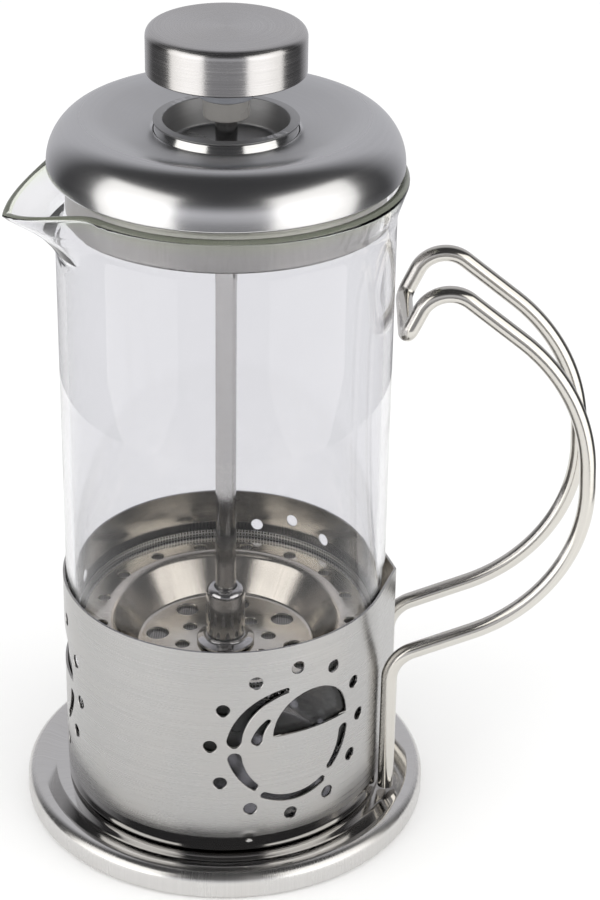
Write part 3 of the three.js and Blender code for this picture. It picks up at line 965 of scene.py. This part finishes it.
def make_materials():
    """A material for each of the record's slots, and four more for parts that look different."""
    return {
        "base_steel": steel("base_polished", (0.68, 0.67, 0.66), 0.09, "radial", 260.0, 60.0, bite=0.2,
                            rougher=bead_rougher),
        "band_steel": steel("band_brushed", (0.45, 0.445, 0.44), 0.26, "around", 3200.0, 14.0, bite=0.16,
                            anisotropy=0.25, worn=0.0, rougher=wall_rougher),
        "band_inside": steel("band_inside", (0.68, 0.64, 0.56), 0.15, "around", 3200.0, 14.0,
                             patches=0.4, worn=0.0),
        "wire_steel": steel("wire_drawn", (0.67, 0.65, 0.61), 0.15, "wire", 14.0, 0.02, bite=0.3),
        "clear_glass": clear_glass("beaker_glass"),
        "rim_glass": rim_glass("beaker_rim"),
        "lid_steel": steel("lid_satin", (0.62, 0.62, 0.63), 0.22, "around", 2600.0, 20.0, bite=0.1,
                           patches=0.06, rougher=collar_rougher),
        "well_steel": steel("well_polished", (0.66, 0.66, 0.66), 0.12, "around", 2400.0, 20.0, bite=0.2),
        "well_dull": steel("well_dull", (0.44, 0.44, 0.445), 0.42, "around", 2400.0, 20.0),
        "skirt_steel": steel("skirt_satin", (0.40, 0.39, 0.38), 0.36, "along", 1500.0, 200.0),
        "guide_plastic": plastic("guide_white", (0.7, 0.7, 0.68), 0.5),
        "rod_steel": steel("rod_polished", (0.54, 0.53, 0.52), 0.1, "around", 2800.0, 60.0, bite=0.22),
        "knob_steel": steel("knob_brushed", (0.56, 0.55, 0.55), 0.24, "around", 3400.0, 18.0, bite=0.4,
                            anisotropy=0.6),
        "knob_plastic": plastic("knob_grey", (0.25, 0.26, 0.29), 0.4),
        "stem_plastic": plastic("stem_dark", (0.3, 0.29, 0.28), 0.3),
        "insert_brass": steel("insert_turned", (0.72, 0.55, 0.3), 0.3, "around", 3000.0, 60.0, bite=0.3),
        "hub_steel": steel("hub_polished", (0.68, 0.67, 0.66), 0.09, "around", 2600.0, 40.0),
        "plate_steel": steel("plate_pressed", (0.84, 0.79, 0.70), 0.14, "radial", 160.0, 80.0,
                             patches=0.3),
        "mesh_steel": woven("mesh_cloth", (0.86, 0.85, 0.84)),
    }


# ------------------------------------------------------------------ assembly
# What makes a piece, the body it rides on, the CAD node it stands for, and its material slot.
PIECES = (
    (base_flange, "frame", "base_plate", "base_steel"),
    (pierced_band, "frame", "frame_band", "band_steel"),
    (wire_loop, "frame", "handle_wire", "wire_steel"),
    (beaker_wall, "beaker", "glass_beaker", "clear_glass"),
    (lid_shell, "lid", "lid_dome", "lid_steel"),
    (lid_cup, "lid", "lid_well", "well_steel"),
    (lid_ring, "lid", "lid_skirt", "skirt_steel"),
    (guide_tube, "lid", "rod_guide", "guide_plastic"),
    (plunger_shaft, "plunger", "plunger_rod", "rod_steel"),
    (stem_collar, "knob", "stem_sleeve", "knob_plastic"),
    (knob_drum, "knob", "knob_cap", "knob_steel"),
    (knob_body, "knob", "knob_core", "knob_plastic"),
    (knob_thread, "knob", "knob_insert", "insert_brass"),
    (hub_body, "filter", "filter_hub", "hub_steel"),
    (hub_foot, "filter", "hub_washer", "hub_steel"),
    (sieve_plate, "filter", "filter_plate", "plate_steel"),
    (woven_screen, "filter", "mesh_screen", "mesh_steel"),
    (coil_spring, "filter", "rim_spring", "rod_steel"),
    (lower_plate, "filter", "bottom_plate", "plate_steel"),
    (hex_nut, "filter", "bottom_nut", "hub_steel"),
)


def second_finish(piece, material, takes_it):
    """Gives some faces a finish of their own.

    takes_it(radius, height, facing) gets the place of a face's middle, and how far the face looks outwards.
    """
    piece.data.materials.append(material)
    for face in piece.data.polygons:
        outwards = Vector((face.center.x, face.center.y, 0))
        facing = face.normal.dot(outwards.normalized())
        if takes_it(outwards.length / MM, face.center.z / MM, facing):
            face.material_index = 1


def in_well(radius, height, facing):
    """The well's inside and the top of its rim, which are duller than the rest."""
    return radius < 13.6 or height > WELL_TOP - 0.6


def inside_band(radius, height, facing):
    """The band's inner side, which isn't brushed."""
    return facing < -0.5


def assemble():
    """Makes every piece, with its finishes, its body, its CAD node and its slot."""
    finishes = make_materials()
    for make, body, node, slot in PIECES:
        piece = make()
        piece.data.materials.append(finishes["stem_plastic" if make is stem_collar else slot])
        if make is lid_cup:
            second_finish(piece, finishes["well_dull"], in_well)
        if make is pierced_band:
            second_finish(piece, finishes["band_inside"], inside_band)
        if make is beaker_wall:
            piece.data.materials.append(finishes["rim_glass"])
        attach(piece, body)
        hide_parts(node)


# ------------------------------------------------------------------ studio
CAMERA_PLACE = (0.01583, -0.47056, 0.33655)
CAMERA_PITCH = 28.064     # degrees below the horizon
CAMERA_ROLL = 0.996
CAMERA_LENS = 99.86
NEAR_FLOOR_R = 0.22
FAR_FLOOR_R = 6.0
ROOM_LIGHT = 1.1
SOFTBOX_COLOUR = (1.0, 0.985, 0.95)


def add_camera():
    """A camera above the front of the pot, looking down at it and rolled a little."""
    pitch = math.radians(CAMERA_PITCH)
    roll = math.radians(CAMERA_ROLL)
    ahead = Vector((0, math.cos(pitch), -math.sin(pitch)))
    right = Vector((1, 0, 0))
    up = Vector((0, math.sin(pitch), math.cos(pitch)))
    across = right * math.cos(roll) + up * math.sin(roll)
    above = up * math.cos(roll) - right * math.sin(roll)
    data = bpy.data.cameras.new("camera")
    data.lens = CAMERA_LENS
    data.clip_start = 0.01
    camera = bpy.data.objects.new("camera", data)
    turned = Matrix((across, above, -ahead)).transposed().to_4x4()
    camera.matrix_world = Matrix.Translation(CAMERA_PLACE) @ turned
    bpy.context.scene.collection.objects.link(camera)
    bpy.context.scene.camera = camera


def floor_part(name, inner, outer):
    """A flat ring, or a disc where inner is 0, at table height."""
    sides = 96
    points = []
    for radius in (inner, outer):
        if radius > 0:
            points += [(x, y, 0) for x, y in round_outline(0, 0, radius, sides)]
    if inner > 0:
        faces = [(k, (k + 1) % sides, sides + (k + 1) % sides, sides + k) for k in range(sides)]
    else:
        faces = [tuple(range(sides))]
    mesh = bpy.data.meshes.new(name)
    mesh.from_pydata(points, [], faces)
    part = bpy.data.objects.new(name, mesh)
    bpy.context.scene.collection.objects.link(part)
    return part


def add_floor():
    """A white table. Metal mirrors only the part near the pot."""
    shader = Shader("floor_white", Roughness=0.9, Base_Color=(0.9, 0.9, 0.9, 1))
    near = floor_part("floor_near", 0, NEAR_FLOOR_R)
    far = floor_part("floor_far", NEAR_FLOOR_R, FAR_FLOOR_R)
    for part in (near, far):
        part.data.materials.append(shader.material)
    far.visible_glossy = False
    far.visible_shadow = False


def add_softbox(name, degrees, distance, height, width, tall, watts):
    """A soft light on the circle round the object, degrees from the front towards +X."""
    a = math.radians(degrees)
    data = bpy.data.lights.new(name, "AREA")
    data.shape = "RECTANGLE"
    data.size = width
    data.size_y = tall
    data.energy = watts
    data.color = SOFTBOX_COLOUR
    light = bpy.data.objects.new(name, data)
    light.location = (distance * math.sin(a), -distance * math.cos(a), height)
    aim = Vector((0, 0, height)) - light.location
    light.rotation_euler = aim.to_track_quat("-Z", "Y").to_euler()
    light.visible_camera = False
    bpy.context.scene.collection.objects.link(light)


def add_world():
    """A white room for sight and diffuse light. Metal mirrors a grey one instead.

    The grey room is bright behind the pot and low in front of it, dim below and dark above.
    """
    world = bpy.data.worlds.new("studio")
    world.use_nodes = True
    world.cycles.sampling_method = "NONE"
    bpy.context.scene.world = world
    world.node_tree.nodes.clear()
    nodes = Nodes(world.node_tree)
    direction = nodes.add("TexCoord", output="Generated")
    _, y, z = nodes.add("SeparateXYZ", {0: direction}).node.outputs

    backwards = nodes.math("ADD", y, nodes.math("MULTIPLY", z, 0.35))
    behind = nodes.ramp(backwards, 0.45, 0.8, 0.055, 0.62)
    forwards = nodes.ramp(y, -0.5, -0.1, 1.0, 0.0)
    low_down = nodes.ramp(z, 0.15, 0.45, 1.0, 0.0)
    in_front = nodes.math("MULTIPLY", nodes.math("MULTIPLY", forwards, low_down),
                          nodes.ramp(z, -0.4, 0.1, 0.25, 0.7))
    below = nodes.ramp(z, -0.7, -0.2, 0.3, 0.0)
    level = nodes.math("MAXIMUM", nodes.math("MAXIMUM", behind, in_front), below)
    mirrored = nodes.add("Background", {"Color": (1, 1, 1.04, 1), "Strength": level})
    plain = nodes.add("Background", {"Color": (1, 1, 1, 1), "Strength": ROOM_LIGHT})

    # Reflected rays see the grey room, unless they are diffuse or have crossed just one wall of the glass.
    path = nodes.add("LightPath").node.outputs
    glossy = nodes.math("GREATER_THAN", path["Glossy Depth"], 0.5)
    in_one_wall = nodes.add("Math", {0: path["Transmission Depth"], 1: 2.0, 2: 1.1}, operation="COMPARE")
    off_metal = nodes.add("Math", {0: glossy, 1: in_one_wall}, operation="SUBTRACT", use_clamp=True)
    seen = nodes.add("Math", {0: off_metal, 1: path["Is Diffuse Ray"]}, operation="SUBTRACT",
                     use_clamp=True)
    either = nodes.add("MixShader", {0: seen, 1: plain, 2: mirrored})
    surface = nodes.tree.nodes.new("ShaderNodeOutputWorld").inputs["Surface"]
    nodes.tree.links.new(either, surface)


assemble()
add_camera()
add_floor()
add_softbox("softbox_left", -57, 0.6, 0.2, 0.62, 0.82, 2.5)
add_softbox("softbox_right", 59, 0.6, 0.2, 0.66, 0.82, 2.6)
add_world()
bpy.context.scene.view_settings.view_transform = "Standard"

bpy.context.view_layer.update()
